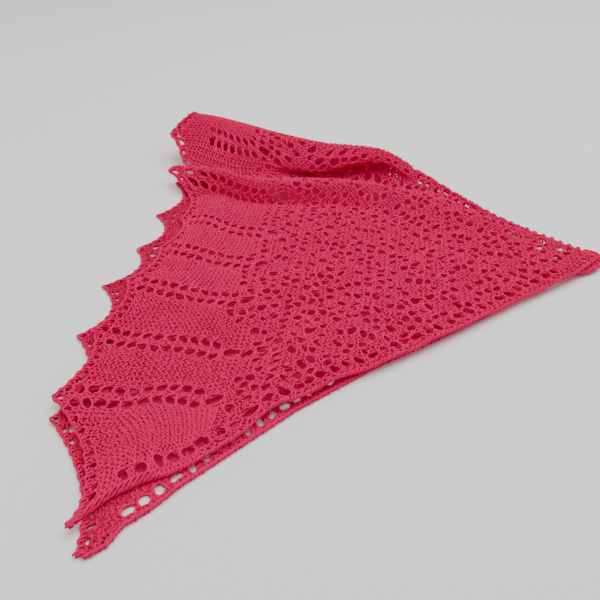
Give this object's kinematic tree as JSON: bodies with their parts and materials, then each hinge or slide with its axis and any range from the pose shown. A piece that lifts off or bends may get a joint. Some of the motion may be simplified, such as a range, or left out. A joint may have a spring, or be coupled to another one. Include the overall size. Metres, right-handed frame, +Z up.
{
  "type": "triangle shawl",
  "caption": "Hand-knitted lace triangle shawl with a leaf-pointed border, laid flat and folded in half along its spine, with two soft folds at the far side",
  "frame": {"origin": "centre of the footprint on the table the shawl lies on", "axes": "+Z up from the table, +Y from the free straight edges towards the rolled fold at the far side, +X from the pointed border towards the neck corner"},
  "size_m": [0.5302, 0.7442, 0.0549],
  "materials": {
    "upper_body": "soft matt knitted lace, hot pink yarn",
    "upper_border": "soft matt plain knitting with eyelet lines, hot pink yarn",
    "upper_band": "soft matt ridged knitting with one eyelet line, hot pink yarn",
    "spine_fold": "soft matt knitted fold, hot pink yarn",
    "lower_body": "soft matt knitted lace in shade, hot pink yarn",
    "lower_border": "soft matt plain knitting in shade, hot pink yarn",
    "lower_band": "soft matt ridged knitting with one eyelet line, hot pink yarn"
  },
  "bodies": {
    "root": {"upper_body": "upper_body", "upper_border": "upper_border", "upper_band": "upper_band", "spine_fold": "spine_fold", "lower_body": "lower_body", "lower_border": "lower_border", "lower_band": "lower_band"}
  },
  "joints": []
}
